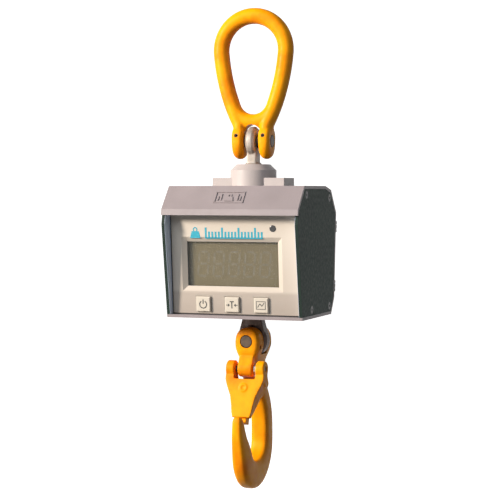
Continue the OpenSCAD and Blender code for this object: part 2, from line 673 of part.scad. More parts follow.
module hook_body() color(forged_yellow) at([0, 0, low_pin_z]) difference() {
    union() {
        hook_shank();
        hook_fork();
        at([0, latch_y, latch_z - low_pin_z]) rod_x(2 * latch_r, lug_w);
        yz_prism([[latch_y - 7, -23], [-20, -12], [-8, -20], [-8, -37], [latch_y, -34]], lug_w);
    }
    rod_y(lower_eye_d + 3, hook_slot_w);
    box([-20, -hook_slot_w / 2, 0], [20, hook_slot_w / 2, 20]);
    rod_y(load_pin_d + 2 * seat_fit, 60);
    for (s = [-1, 1]) at([0, s * hook_ear_y, -lock_offset]) rod_x(lock_pin_d, 50);
    at([0, latch_y, latch_z - low_pin_z]) rod_x(latch_pin_d + 2 * seat_fit, 50);
}

module lower_load_pin() color(dark_steel)
    at([0, 0, low_pin_z]) rotate([0, 0, 90]) load_pin(hook_fork_d - 0.6, hook_ear_y);

module lower_lock_pins() color(dark_steel)
    for (s = [-1, 1]) at([0, s * hook_ear_y, low_pin_z - lock_offset])
        rotate([0, 90, 0]) spring_pin(lock_pin_d, 24);

module latch_pin() color(dark_steel)
    at([0, latch_y, latch_z]) wheel_x(latch_pin_d / 2, latch_w - 2, 0.6);

module latch_spring() color(zinc) at([0, latch_y, latch_z]) {
    for (x = spring_ring_xs) at([x, 0, 0]) rotate([0, 90, 0]) rotate_extrude()
        translate([spring_ring_r, 0]) circle(d = spring_d);
    at([spring_ring_xs[1], spring_ring_r + 3.5, 0]) rod_y(spring_d, 7);
}

// Front outline of the latch below its pin, given as [z, half width]
latch_outline = [[-49.5, 9], [-44, 10.5], [-37, 11.5], [-28, 13.5], [-18, 18],
    [-12, latch_w / 2], [0, latch_w / 2]];

module latch() color(forged_yellow) at([0, latch_y, latch_z]) rotate([-latch_slant, 0, 0])
    difference() {
        union() {
            intersection() {
                front_prism(latch_outline, 60);
                yz_prism([[latch_front, 0], [latch_front, -56], [latch_back, -56],
                    [latch_back, -47], [7, -38], [13, -24], [14.5, -14], [7, -5], [7, 0]], 60);
            }
            box([-5, -2, -55], [5, 8, -44]);
            both_sides() at([latch_ear_x, 0, 0]) wheel_x(latch_r, latch_ear_t, 1.2);
            at([0, latch_front, -20]) rod_y(8, 1.6);
        }
        box([-latch_slot_half_w, -12, -11], [latch_slot_half_w, 12, 12]);
        box([-channel_half_w, latch_back, -43], [channel_half_w, 30, -5]);
        rod_x(latch_pin_d + 2 * run_fit, 60);
        at([0, latch_front - 1, -20]) rod_y(4.5, 2);
    }

top_link();
top_load_pin();
top_lock_pins();
upper_eye();
top_flange();
flange_screws();
collar_seal();
load_cell();
gauge_covers();
shank_pins();
lower_eye();
bottom_seal();
housing_shell();
side_plate_left();
side_plate_right();
side_screws_left();
side_screws_right();
front_bezel();
bezel_seal();
display_window();
lcd_frame();
lcd_panel();
backlight();
main_pcb();
pcb_components();
pcb_standoffs();
pcb_screws();
keypad_mat();
sensor_lens();
key_power();
key_tare();
key_hold();
battery_holder();
battery_contacts();
batteries();
door_gasket();
hinge_brackets();
hinge_pins();
rivet_nut();
signal_cable();
battery_lead();
battery_door();
door_thumbscrew();
hook_body();
lower_load_pin();
lower_lock_pins();
latch_pin();
latch_spring();
latch();
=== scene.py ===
"""Looks of the crane scale: forged meshes, panel graphics, materials, stage, lights and camera.

Everything is in metres in the CAD frame: +Z up along the load line, -Y out of the display.
"""
import json
import math

import bmesh
import bpy
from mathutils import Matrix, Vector


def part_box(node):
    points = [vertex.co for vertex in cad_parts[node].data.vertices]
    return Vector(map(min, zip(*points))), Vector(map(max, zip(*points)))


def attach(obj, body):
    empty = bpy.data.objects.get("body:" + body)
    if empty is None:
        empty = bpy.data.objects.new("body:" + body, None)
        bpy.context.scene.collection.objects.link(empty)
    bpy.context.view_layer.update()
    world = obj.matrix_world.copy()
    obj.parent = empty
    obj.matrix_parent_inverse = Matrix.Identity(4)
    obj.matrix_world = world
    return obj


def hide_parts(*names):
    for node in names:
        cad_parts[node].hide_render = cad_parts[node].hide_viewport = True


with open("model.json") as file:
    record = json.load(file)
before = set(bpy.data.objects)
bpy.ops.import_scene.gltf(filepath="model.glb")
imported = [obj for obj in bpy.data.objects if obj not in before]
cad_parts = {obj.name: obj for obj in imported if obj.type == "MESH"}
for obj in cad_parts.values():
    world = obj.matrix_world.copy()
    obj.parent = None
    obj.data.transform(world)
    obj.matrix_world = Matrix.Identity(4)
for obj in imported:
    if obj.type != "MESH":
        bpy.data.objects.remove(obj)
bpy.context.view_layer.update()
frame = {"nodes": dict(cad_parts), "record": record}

MM = 0.001
NODES = frame["nodes"]
RECORD = frame["record"]
X_AXIS = Vector((1, 0, 0))
Y_AXIS = Vector((0, 1, 0))
Z_AXIS = Vector((0, 0, 1))

# Radii of bores in millimetres, each just wider than its pin, and of the plugs of the eyes
LOAD_BORE_R = 6.53
EYE_BORE_R = 6.56
EYE_PLUG_R = 8
LUG_BORE_R = 3.03
LATCH_BORE_R = 3.06
LOCK_BORE_R = 2.03
# Distance of a spring pin from the axis of the load pin it locks, in millimetres
LOCK_OFFSET = 5.5
# Length in millimetres of a cutter that goes right through a forging
THROUGH = 60


# ---------------------------------------------------------------- places from the frame

def middle(node):
    """Middle of a CAD node's box."""
    low, high = (Vector(corner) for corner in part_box(node))
    return (low + high) / 2


def joint_named(name):
    """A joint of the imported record."""
    for joint in RECORD["behaviour"]["joints"]:
        if joint["name"] == name:
            return joint
    raise KeyError(name)


TOP_PIN = middle("top_load_pin")
LOW_PIN = middle("lower_load_pin")
LATCH_PIN = middle("latch_pin")


# ---------------------------------------------------------------- mesh helpers

def new_object(name, mesh):
    """Links a mesh into the scene as a new object at the origin."""
    piece = bpy.data.objects.new(name, mesh)
    bpy.context.scene.collection.objects.link(piece)
    return piece


def mesh_from(name, points, faces):
    """New mesh from points and faces, with its normals turned outwards."""
    mesh = bpy.data.meshes.new(name)
    mesh.from_pydata([tuple(point) for point in points], [], faces)
    work = bmesh.new()
    work.from_mesh(mesh)
    bmesh.ops.recalc_face_normals(work, faces=work.faces)
    work.to_mesh(mesh)
    work.free()
    return mesh


def skin(name, rings):
    """Mesh through a row of rings of equal length, capped at both ends."""
    count = len(rings[0])
    points = [point for ring in rings for point in ring]
    faces = []
    for i in range(len(rings) - 1):
        here = i * count
        after = here + count
        for j in range(count):
            k = (j + 1) % count
            faces.append((here + j, here + k, after + k, after + j))
    faces.append(tuple(range(count)))
    faces.append(tuple(range(len(points) - count, len(points))))
    return mesh_from(name, points, faces)


def spline(stations, steps):
    """Catmull-Rom curve through rows of numbers, with steps points for each span."""
    rows = [stations[0]] + list(stations) + [stations[-1]]
    result = []
    for a, b, c, d in zip(rows, rows[1:], rows[2:], rows[3:]):
        for i in range(steps):
            t = i / steps
            result.append([
                0.5 * (2 * q + (r - p) * t + (2 * p - 5 * q + 4 * r - s) * t * t
                       + (3 * q - p - 3 * r + s) * t ** 3)
                for p, q, r, s in zip(a, b, c, d)])
    result.append(list(stations[-1]))
    return result


def power(value, exponent):
    """Signed power, for superellipses."""
    return math.copysign(abs(value) ** exponent, value)


def tube(name, path, radii, side):
    """Tube along a path: radii gives (along side, across side) for each point."""
    corners = 40
    rings = []
    for i, point in enumerate(path):
        ahead = path[min(i + 1, len(path) - 1)] - path[max(i - 1, 0)]
        across = ahead.cross(side).normalized()
        flat = across.cross(ahead).normalized()
        along, over = radii[i]
        rings.append([
            point + flat * along * math.cos(math.tau * k / corners)
            + across * over * math.sin(math.tau * k / corners) for k in range(corners)])
    return skin(name, rings)


def drum(name, centre, axis, radius, length, rounding=0.0):
    """Disc or rod about an axis, with rounded rims."""
    corners = 64
    rim_steps = 4
    profile = []
    for i in range(rim_steps + 1):
        angle = math.radians(90 * i / rim_steps)
        profile.append((radius - rounding + rounding * math.sin(angle),
                        -length / 2 + rounding - rounding * math.cos(angle)))
    profile += [(r, -h) for r, h in reversed(profile)]
    turn = Z_AXIS.rotation_difference(axis).to_matrix()
    rings = []
    for r, h in profile:
        rings.append([centre + turn @ Vector((r * math.cos(math.tau * k / corners),
                                              r * math.sin(math.tau * k / corners), h))
                      for k in range(corners)])
    return skin(name, rings)


def prism(name, outline, axis, u, v, length, centre=None):
    """Outline of (u, v) points extruded to both sides of its plane along axis."""
    centre = centre or Vector()
    rings = [[centre + u * a + v * b + axis * side * length / 2 for a, b in outline]
             for side in (-1, 1)]
    return skin(name, rings)


def block(name, low, high):
    """Box between two corners."""
    outline = [(low[0], low[1]), (high[0], low[1]), (high[0], high[1]), (low[0], high[1])]
    return prism(name, outline, Z_AXIS, X_AXIS, Y_AXIS, high[2] - low[2],
                 Z_AXIS * (high[2] + low[2]) / 2)


def joined(name, meshes):
    """One mesh holding all the given ones, which are removed."""
    work = bmesh.new()
    for mesh in meshes:
        work.from_mesh(mesh)
    whole = bpy.data.meshes.new(name)
    work.to_mesh(whole)
    work.free()
    for mesh in meshes:
        bpy.data.meshes.remove(mesh)
    return whole


def baked(piece):
    """Applies the piece's modifiers to its mesh."""
    bpy.context.view_layer.update()
    graph = bpy.context.evaluated_depsgraph_get()
    mesh = bpy.data.meshes.new_from_object(piece.evaluated_get(graph))
    piece.modifiers.clear()
    piece.data = mesh


def smooth_shading(mesh):
    """Smooth faces, with the sharper edges left crisp."""
    sharp_degrees = 35
    mesh.shade_smooth()
    mesh.set_sharp_from_angle(angle=math.radians(sharp_degrees))


def forged(name, solids, cutters, voxel, passes):
    """Blends solids into one forging, then cuts its machined bores and slots crisply."""
    piece = new_object(name, joined(name, solids))
    fuse = piece.modifiers.new("fuse", "REMESH")
    fuse.mode = "VOXEL"
    fuse.voxel_size = voxel
    blend = piece.modifiers.new("blend", "SMOOTH")
    blend.factor = 0.5
    blend.iterations = passes
    baked(piece)
    tools = []
    for i, cutter in enumerate(cutters):
        tool = new_object(f"{name}_cutter_{i}", cutter)
        cut = piece.modifiers.new(f"cut_{i}", "BOOLEAN")
        cut.operation = "DIFFERENCE"
        cut.solver = "MANIFOLD"
        cut.object = tool
        tools.append(tool)
    if tools:
        baked(piece)
    for tool in tools:
        bpy.data.objects.remove(tool)
    smooth_shading(piece.data)
    return piece


def copy_of(node):
    """Welded copy of a CAD node's mesh."""
    weld_distance = 1e-6
    work = bmesh.new()
    work.from_mesh(NODES[node].data)
    bmesh.ops.remove_doubles(work, verts=work.verts, dist=weld_distance)
    mesh = bpy.data.meshes.new(node + "_copy")
    work.to_mesh(mesh)
    work.free()
    mesh.materials.clear()
    return mesh


# ---------------------------------------------------------------- forged and bent pieces

def build_link():
    """Suspension link: pear-shaped bar, bridge and the two ears of its clevis."""
    bar_r = 8 * MM
    crown = Vector((0, 0, -26 * MM))
    crown_r = 34 * MM
    leg_r = 198 * MM
    crown_sweep = math.radians(5)
    leg_sweep = math.radians(26)
    ear_r = 13 * MM
    ear_t = 11.4 * MM
    slot_half = 8.3 * MM
    slot_top = TOP_PIN.z + 8.5 * MM
    ear_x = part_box("top_load_pin")[1][0] - 0.5 * MM - ear_t / 2
    to_leg_centre = Vector((-math.cos(crown_sweep), 0, math.sin(crown_sweep)))
    leg_centre = crown + to_leg_centre * (leg_r - crown_r)
    path = []
    radii = []
    # From the ear up into the leg: height over the pin, half width, half depth
    for z, half_w, half_d in ((-5, 5.5, 11), (2, 5.6, 11.4), (9, 6.1, 10.8), (14, 6.8, 9.8)):
        path.append(Vector((ear_x, 0, TOP_PIN.z + z * MM)))
        radii.append((half_d * MM, half_w * MM))
    leg_steps = 14
    for i in range(leg_steps + 1):
        angle = -leg_sweep + (leg_sweep - crown_sweep) * i / leg_steps
        path.append(leg_centre + Vector((math.cos(angle), 0, math.sin(angle))) * leg_r)
        swell = max(0, 1 - i / 4) * MM
        radii.append((bar_r + swell, bar_r - swell * 0.5))
    crown_steps = 18
    for i in range(1, crown_steps + 1):
        angle = -crown_sweep + (math.pi / 2 + crown_sweep) * i / crown_steps
        path.append(crown + Vector((math.cos(angle), 0, math.sin(angle))) * crown_r)
        radii.append((bar_r, bar_r))
    path += [Vector((-p.x, 0, p.z)) for p in reversed(path[:-1])]
    radii += list(reversed(radii[:-1]))
    solids = [tube("bar", path, radii, Y_AXIS)]
    # Middle line of the bridge between the legs, as (X, Z) from its left end to its middle
    half_bridge = [(-25.2, -72), (-21.7, -82), (-17, -89.8), (-9.6, -95.2), (0, -97.2)]
    stations = half_bridge + [(-x, z) for x, z in reversed(half_bridge[:-1])]
    bridge = [Vector((x * MM, 0, z * MM)) for x, z in spline(stations, 5)]
    solids.append(tube("bridge", bridge, [(8 * MM, 7.8 * MM)] * len(bridge), Y_AXIS))
    cutters = [drum("bore", TOP_PIN, X_AXIS, LOAD_BORE_R * MM, THROUGH * MM),
               drum("arch", Vector((0, 0, slot_top)), Y_AXIS, slot_half, THROUGH * MM),
               block("slot", (-slot_half, -30 * MM, TOP_PIN.z - 40 * MM),
                     (slot_half, 30 * MM, slot_top))]
    for side in (-1, 1):
        ear = Vector((side * ear_x, 0, TOP_PIN.z))
        # Stacked discs of an ear: height over the pin, rounding of the rims
        for z, rounding in ((-4.9, 5.6), (-1.5, 4.4), (3.5, 4)):
            solids.append(drum("ear", ear + Z_AXIS * z * MM, X_AXIS, ear_r, ear_t + 0.4 * MM,
                               rounding * MM))
        cutters.append(drum("lock", ear + Z_AXIS * LOCK_OFFSET * MM, Y_AXIS, LOCK_BORE_R * MM,
                            THROUGH * MM))
    return forged("forged_link", solids, cutters, 0.9 * MM, 7)


# Stations of the hook's limb, in millimetres below the load pin:
# inner Y, inner Z, outer Y, outer Z, half width inside, half width outside
SHANK = [(-13, -18, 13, -18, 8.5, 8.5), (-13, -28, 14, -34, 8.6, 8.6),
         (-6, -38, 18.5, -43, 8.7, 8.6), (3, -51, 25, -53, 8.8, 8.7),
         (10, -65, 32, -65, 9.2, 9), (14.6, -81, 36, -81, 9.5, 9.3)]
TIP = [(-29.5, -99, -49, -100, 8, 6.2), (-34.5, -93, -50.6, -92, 7.4, 5.4),
       (-38.5, -84, -51, -83, 6.6, 4.8), (-41, -76, -50.4, -75, 5.4, 4.2),
       (-43.2, -72.6, -48, -71.2, 3.4, 2.8)]


def bowl_station(degrees):
    """Station of the bowl at an angle round it, from its back (0) to its front (180)."""
    angle = math.radians(degrees)
    back = 1 - degrees / 180
    reach = (math.cos(angle), -math.sin(angle))
    return (-5 + 20 * reach[0], -100.5 + 20 * reach[1], -5 + 41.5 * reach[0],
            -107 + 41.5 * reach[1], 8.6 + 0.9 * back, 7.2 + 2.2 * back)


def limb():
    """Curved limb of the hook, wide on the inside of its bend and narrow on the outside."""
    stations = SHANK + [bowl_station(20 * i) for i in range(9)] + TIP
    rings = []
    for row in spline(stations, 4):
        inner_y, inner_z, outer_y, outer_z, inner_w, outer_w = (value * MM for value in row)
        inner = LOW_PIN + Vector((0, inner_y, inner_z))
        outer = LOW_PIN + Vector((0, outer_y, outer_z))
        ring = []
        for k in range(48):
            angle = math.tau * k / 48
            depth = power(math.sin(angle), 0.55)
            share = (depth + 1) / 2
            width = inner_w * (1 - share) + outer_w * share
            ring.append(inner.lerp(outer, share) + X_AXIS * width * power(math.cos(angle), 0.5))
        rings.append(ring)
    return skin("limb", rings)


def fork():
    """Fork of the hook, before its slot is cut, as (height, half width, half depth)."""
    rows = [(13.4, 2.4, 18.4), (12.7, 5.6, 20), (10.6, 9.2, 21.4), (6, 12.3, 22), (0, 13.5, 22),
            (-6, 13.3, 22), (-12, 11.4, 21.6), (-18, 9.3, 18.4), (-23, 8.7, 14.4),
            (-34, 8.4, 12.5), (-44, 7, 9)]
    rings = []
    for height, half_w, half_d in spline(rows, 3):
        rings.append([
            LOW_PIN + Vector((half_w * power(math.cos(math.tau * k / 48), 0.35),
                              half_d * power(math.sin(math.tau * k / 48), 0.35), height)) * MM
            for k in range(48)])
    return skin("fork", rings)


def build_hook():
    """Clevis hook: fork, shank, bowl and tip in one forging, with the lug of the latch."""
    lug_w = 15 * MM
    slot_w = 16 * MM
    slot_r = 17.5 * MM
    cheek_y = 15
    # Web between the latch's lug and the shank, as corners in (Y, Z)
    web = [(LATCH_PIN.y - 7 * MM, LOW_PIN.z - 23 * MM), (-20 * MM, LOW_PIN.z - 12 * MM),
           (-8 * MM, LOW_PIN.z - 20 * MM), (-6 * MM, LOW_PIN.z - 40 * MM),
           (LATCH_PIN.y, LATCH_PIN.z - 7 * MM)]
    solids = [limb(), fork(), drum("lug", LATCH_PIN, X_AXIS, 8.2 * MM, lug_w + 0.2 * MM, 1.2 * MM),
              prism("web", web, X_AXIS, Y_AXIS, Z_AXIS, lug_w)]
    cutters = [drum("slot", LOW_PIN, Y_AXIS, slot_r, slot_w),
               block("gap", (-20 * MM, -slot_w / 2, LOW_PIN.z),
                     (20 * MM, slot_w / 2, LOW_PIN.z + 20 * MM)),
               drum("bore", LOW_PIN, Y_AXIS, LOAD_BORE_R * MM, THROUGH * MM),
               drum("latch_bore", LATCH_PIN, X_AXIS, LUG_BORE_R * MM, THROUGH * MM)]
    for side in (-1, 1):
        lock = LOW_PIN + Vector((0, side * cheek_y * MM, -LOCK_OFFSET * MM))
        cutters.append(drum("lock", lock, X_AXIS, LOCK_BORE_R * MM, THROUGH * MM))
    return forged("forged_hook", solids, cutters, 0.9 * MM, 6)


def build_latch():
    """Latch: its CAD shape with a forging's rounded edges and a crisp pin bore."""
    low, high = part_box("latch_pin")
    ear_x = 15.5
    ear_t = 8.6
    plug_r = 4
    slant_degrees = 16.7
    plugs = [drum("plug", LATCH_PIN + X_AXIS * side * ear_x * MM, X_AXIS, plug_r * MM, ear_t * MM)
             for side in (-1, 1)]
    bore = drum("bore", LATCH_PIN, X_AXIS, LATCH_BORE_R * MM, 2 * (high[0] - low[0]))
    slant = math.radians(slant_degrees)
    up = Vector((0, math.sin(-slant), math.cos(slant)))
    back = Vector((0, math.cos(slant), math.sin(slant)))
    cheek = [(-7.7, 1), (-7.9, -3), (-5.2, -17), (-2, -17), (-2, 1)]
    outline = [(a * MM, b * MM) for a, b in cheek]
    cheeks = [prism("cheek", outline, X_AXIS, back, up, ear_t * MM,
                    LATCH_PIN + X_AXIS * side * ear_x * MM) for side in (-1, 1)]
    return forged("forged_latch", [copy_of("latch")] + plugs + cheeks, [bore], 0.6 * MM, 6)


def build_upper_eye():
    """Upper eye, forged and plated: its CAD bore is plugged and cut again crisply."""
    plug = drum("plug", TOP_PIN, X_AXIS, EYE_PLUG_R * MM, 9.6 * MM)
    bore = drum("bore", TOP_PIN, X_AXIS, EYE_BORE_R * MM, 20 * MM)
    return forged("plated_eye", [copy_of("upper_eye"), plug], [bore], 0.6 * MM, 5)


def build_lower_eye():
    """Lower eye, forged: its CAD bore is plugged and cut again crisply."""
    plug = drum("plug", LOW_PIN, Y_AXIS, EYE_PLUG_R * MM, 12.5 * MM)
    bore = drum("bore", LOW_PIN, Y_AXIS, EYE_BORE_R * MM, 30 * MM)
    return forged("dark_eye", [copy_of("lower_eye"), plug], [bore], 0.7 * MM, 5)


def build_spring():
    """Torsion spring of the latch, coiled round its pin, with a leg at each end."""
    wire = 0.55 * MM
    coil_r = 4.1 * MM
    turns = 1.6
    outside = 10.2 * MM
    inside = 8.4 * MM
    steps = 60
    path = [LATCH_PIN + Vector((outside, 11 * MM, coil_r * 0.2)),
            LATCH_PIN + Vector((outside, 7 * MM, coil_r * 0.6)),
            LATCH_PIN + Vector((outside, 2 * MM, coil_r))]
    for i in range(steps + 1):
        angle = math.radians(90) + math.tau * turns * i / steps
        x = outside + (inside - outside) * i / steps
        path.append(LATCH_PIN + Vector((x, coil_r * math.cos(angle), coil_r * math.sin(angle))))
    end = path[-1]
    path.append(end + Vector((0, -2 * MM, -4 * MM)))
    rings = []
    side = X_AXIS.copy()
    for i, point in enumerate(path):
        ahead = (path[min(i + 1, len(path) - 1)] - path[max(i - 1, 0)]).normalized()
        side = (side - ahead * side.dot(ahead)).normalized()
        over = ahead.cross(side)
        rings.append([point + (side * math.cos(math.tau * k / 12)
                               + over * math.sin(math.tau * k / 12)) * wire for k in range(12)])
    piece = new_object("latch_coil", skin("latch_coil", rings))
    smooth_shading(piece.data)
    return piece


# ---------------------------------------------------------------- faces and graphics

class Face:
    """A flat face of a CAD node: its outward normal and directions across and up it."""

    def __init__(self, node, normal, over):
        self.normal = Vector(normal).normalized()
        self.up = (Z_AXIS - self.normal * self.normal.z).normalized()
        self.across = self.up.cross(self.normal)
        height = max(v.co.dot(self.normal) for v in NODES[node].data.vertices)
        self.origin = over + self.normal * (height - over.dot(self.normal))

    def at(self, a, b, out):
        """Point a across, b up and out from the face, in millimetres."""
        return self.origin + (self.across * a + self.up * b + self.normal * out) * MM

    def coords(self, point):
        """Millimetres across and up the face of a point over it."""
        offset = (point - self.origin) / MM
        return offset.dot(self.across), offset.dot(self.up)


def bar_shape(a0, b0, a1, b1, width):
    """Straight stroke between two points."""
    along = Vector((a1 - a0, b1 - b0)).normalized()
    side = Vector((-along.y, along.x)) * width / 2
    return [(a0 + side.x, b0 + side.y), (a0 - side.x, b0 - side.y),
            (a1 - side.x, b1 - side.y), (a1 + side.x, b1 + side.y)]


def arc_shape(a, b, radius, width, start, end):
    """Curved stroke about a point, between two angles in degrees."""
    steps = 28
    angles = [math.radians(start + (end - start) * i / steps) for i in range(steps + 1)]
    outer = [(a + (radius + width / 2) * math.cos(t), b + (radius + width / 2) * math.sin(t))
             for t in angles]
    inner = [(a + (radius - width / 2) * math.cos(t), b + (radius - width / 2) * math.sin(t))
             for t in reversed(angles)]
    return outer + inner


def frame_shapes(a, b, half_w, half_h, width):
    """Four strokes that frame a rectangle."""
    w = half_w + width / 2
    return [bar_shape(a - w, b + s * half_h, a + w, b + s * half_h, width) for s in (-1, 1)] + [
        bar_shape(a + s * half_w, b - half_h, a + s * half_w, b + half_h, width) for s in (-1, 1)]


def arrow_shapes(a, b, length, way):
    """Arrow along a, pointing to +a when way is 1 and to -a when it is -1."""
    stroke = 0.7
    tip = a + way * length / 2
    head = [(tip, b), (tip - way * length * 0.5, b + length * 0.42),
            (tip - way * length * 0.5, b - length * 0.42)]
    return [bar_shape(a - way * length / 2, b, tip - way * length * 0.3, b, stroke), head]


def weight_shapes(a, b, size):
    """Pictogram of a test weight: a tapered body with a ring on top."""
    body = [(a - 0.34 * size, b + 0.12 * size), (a - 0.5 * size, b - 0.5 * size),
            (a + 0.5 * size, b - 0.5 * size), (a + 0.34 * size, b + 0.12 * size)]
    return [body, arc_shape(a, b + 0.26 * size, 0.17 * size, 0.1 * size, -50, 230)]


def print_on(name, shapes, face, thickness, material, body, sunk=0.05):
    """Flat shapes standing proud of a face by thickness, in millimetres, as one piece."""
    meshes = []
    for shape in shapes:
        rings = [[face.at(a, b, out) for a, b in shape] for out in (-sunk, thickness)]
        meshes.append(skin(name, rings))
    piece = new_object(name, joined(name, meshes))
    piece.data.materials.append(material)
    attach(piece, body)
    return piece


def digit_shapes(a, b, half_w, half_h, width):
    """The seven segments of one digit, slanted a little and pointed at their ends."""
    lean = 0.1
    gap = 1.2
    shoulder = 2
    point = 0.4
    half = width / 2
    shapes = []
    for height in (-half_h, 0, half_h):
        shift = height * lean
        level = b + height
        left = a - half_w
        right = a + half_w
        shapes.append([(left + gap + shift, level), (left + shoulder + shift, level + half),
                       (right - shoulder + shift, level + half), (right - gap + shift, level),
                       (right - shoulder + shift, level - half),
                       (left + shoulder + shift, level - half)])
    for side in (-1, 1):
        for low in (-half_h, 0):
            bottom = low + gap
            top = low + half_h - gap
            foot = a + side * half_w + bottom * lean
            head = a + side * half_w + top * lean
            shapes.append([(foot, b + bottom - point), (foot + half, b + bottom + point),
                           (head + half, b + top - point), (head, b + top + point),
                           (head - half, b + top - point), (foot - half, b + bottom + point)])
    return shapes


# ---------------------------------------------------------------- materials

def srgb(red, green, blue):
    """Linear colour of an 8-bit display colour."""
    values = []
    for value in (red, green, blue):
        c = value / 255
        values.append(c / 12.92 if c <= 0.04045 else ((c + 0.055) / 1.055) ** 2.4)
    return (*values, 1.0)


class Surface:
    """A Principled material and the nodes that give it grain, tint and wear."""

    # Sockets of a Mix node in its colour mode
    MIX_SHARE = 0
    MIX_A = 6
    MIX_B = 7
    MIX_RESULT = 2

    def __init__(self, name, colour, roughness, metallic=0.0, **constants):
        self.material = bpy.data.materials.new(name)
        self.material.use_nodes = True
        self.tree = self.material.node_tree
        self.shader = self.tree.nodes["Principled BSDF"]
        self.set("Base Color", colour)
        self.set("Roughness", roughness)
        self.set("Metallic", metallic)
        for key, value in constants.items():
            self.set(key.replace("_", " "), value)
        self.place = self.add("ShaderNodeTexCoord").outputs["Object"]
        self.normal = None

    def add(self, kind):
        """New node of a kind."""
        return self.tree.nodes.new(kind)

    def link(self, source, target):
        """Joins an output to an input."""
        self.tree.links.new(source, target)

    def set(self, socket, value):
        """Sets a socket of the shader to a constant."""
        self.shader.inputs[socket].default_value = value

    def noise(self, scale, detail, stretch=(1, 1, 1), rough=0.55):
        """Noise with features about 1/scale metres across."""
        mapping = self.add("ShaderNodeMapping")
        mapping.inputs["Scale"].default_value = stretch
        self.link(self.place, mapping.inputs["Vector"])
        noise = self.add("ShaderNodeTexNoise")
        noise.inputs["Scale"].default_value = scale
        noise.inputs["Detail"].default_value = detail
        noise.inputs["Roughness"].default_value = rough
        self.link(mapping.outputs["Vector"], noise.inputs["Vector"])
        return noise.outputs["Fac"]

    def ramp(self, value, low, high, start=0.0, end=1.0):
        """Maps low..high smoothly to start..end."""
        node = self.add("ShaderNodeMapRange")
        node.interpolation_type = "SMOOTHSTEP"
        node.inputs["From Min"].default_value = low
        node.inputs["From Max"].default_value = high
        node.inputs["To Min"].default_value = start
        node.inputs["To Max"].default_value = end
        self.link(value, node.inputs["Value"])
        return node.outputs["Result"]

    def product(self, a, b):
        """Product of two values."""
        node = self.add("ShaderNodeMath")
        node.operation = "MULTIPLY"
        self.link(a, node.inputs[0])
        self.link(b, node.inputs[1])
        return node.outputs["Value"]

    def tint(self, share, colour):
        """Mixes a colour over the base colour where share is high."""
        node = self.add("ShaderNodeMix")
        node.data_type = "RGBA"
        base = self.shader.inputs["Base Color"]
        if base.is_linked:
            self.link(base.links[0].from_socket, node.inputs[self.MIX_A])
        else:
            node.inputs[self.MIX_A].default_value = base.default_value
        node.inputs[self.MIX_B].default_value = colour
        self.link(share, node.inputs[self.MIX_SHARE])
        self.link(node.outputs[self.MIX_RESULT], base)

    def vary(self, socket, value, low, high, start, end):
        """Varies a socket of the shader between start and end."""
        self.link(self.ramp(value, low, high, start, end), self.shader.inputs[socket])

    def bump(self, value, depth, strength):
        """Adds relief of a depth in metres."""
        node = self.add("ShaderNodeBump")
        node.inputs["Strength"].default_value = strength
        node.inputs["Distance"].default_value = depth
        self.link(value, node.inputs["Height"])
        if self.normal:
            self.link(self.normal, node.inputs["Normal"])
        self.normal = node.outputs["Normal"]
        self.link(self.normal, self.shader.inputs["Normal"])

    def edges(self, low, high):
        """High along outer edges, where a dense mesh is pointed."""
        return self.ramp(self.add("ShaderNodeNewGeometry").outputs["Pointiness"], low, high)

    def coordinate(self, axis):
        """X, Y or Z of the surface point in the CAD frame."""
        split = self.add("ShaderNodeSeparateXYZ")
        self.link(self.place, split.inputs["Vector"])
        return split.outputs[axis]

    def distance_from_middle(self):
        """Distance of the surface point from the plane X = 0 of the CAD frame."""
        mirror = self.add("ShaderNodeMath")
        mirror.operation = "ABSOLUTE"
        self.link(self.coordinate("X"), mirror.inputs[0])
        return mirror.outputs["Value"]


def forged_paint():
    """Satin powder coat over a forging, thin and chipped along its edges, with painted shade and
    some grime in its hollows.
    """
    s = Surface("forged_paint", srgb(244, 158, 6), 0.44, Specular_IOR_Level=0.07)
    s.tint(s.ramp(s.noise(70, 4), 0.35, 0.75), srgb(238, 143, 5))
    s.tint(s.ramp(s.noise(24, 5), 0.46, 0.72, 0, 0.75), srgb(206, 98, 6))
    # Painted shade with some grime: darker brown in patches in the hollows, where the mesh is
    # least pointed.
    s.tint(s.product(s.edges(0.44, 0.36), s.ramp(s.noise(160, 5), 0.3, 0.7)), srgb(140, 70, 16))
    chips = s.product(s.edges(0.53, 0.58), s.ramp(s.noise(520, 6, rough=0.7), 0.56, 0.62))
    s.tint(chips, srgb(84, 58, 40))
    s.vary("Roughness", s.noise(220, 4), 0.3, 0.7, 0.34, 0.5)
    s.bump(s.noise(120, 3), 0.00035, 0.35)
    s.bump(s.noise(1100, 2), 0.00005, 0.5)
    return s.material


def steel(name, colour, stain, roughness, metallic=0.9, grain=(1, 1, 1)):
    """Plain, plated or blackened steel with stains, fine scratches and a satin sheen."""
    s = Surface(name, colour, roughness, metallic)
    s.tint(s.ramp(s.noise(110, 5), 0.42, 0.72, 0, 0.8), stain)
    s.vary("Roughness", s.noise(700, 4, grain), 0.3, 0.7, roughness - 0.08, roughness + 0.14)
    s.bump(s.noise(900, 3, grain), 0.00004, 0.6)
    return s.material


def paint(name, colour, shade, roughness, grain_scale=1500):
    """Textured paint with a fine grain, a faint cloudiness and dust in its grain."""
    s = Surface(name, colour, roughness, Specular_IOR_Level=0.35)
    s.tint(s.ramp(s.noise(18, 4), 0.4, 0.75, 0, 0.6), shade)
    s.tint(s.ramp(s.noise(grain_scale, 2), 0.56, 0.7, 0, 0.35), shade)
    s.vary("Roughness", s.noise(300, 3), 0.3, 0.7, roughness - 0.06, roughness + 0.1)
    s.bump(s.noise(grain_scale, 3), 0.00006, 0.8)
    return s.material


